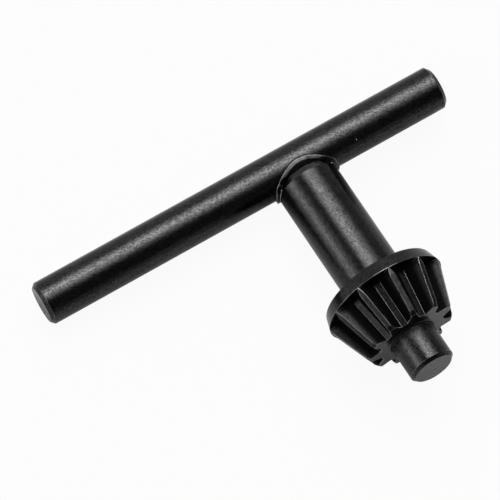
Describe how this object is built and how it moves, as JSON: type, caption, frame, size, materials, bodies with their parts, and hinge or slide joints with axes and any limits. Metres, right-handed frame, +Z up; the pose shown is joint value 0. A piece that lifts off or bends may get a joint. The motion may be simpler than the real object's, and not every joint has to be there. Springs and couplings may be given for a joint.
{
  "type": "drill chuck key",
  "caption": "T-shaped key for a geared drill chuck: round cross bar welded to a shank with a bevel pinion and a pilot.",
  "frame": {"origin": "centre of the bounding box at the bench that the key lies on", "axes": "+X along the cross bar towards its short arm, +Z up from the bench, the pilot points along -Y and rises 12 degrees"},
  "size_m": [0.0768, 0.0478, 0.021],
  "materials": {
    "bar_steel": "black oxide on turned steel, satin, lightly oiled",
    "pinion_steel": "black oxide on turned and cut steel, satin, with a fine grain"
  },
  "bodies": {
    "root": {"handle_bar": "bar_steel", "key_body": "pinion_steel"}
  },
  "joints": []
}
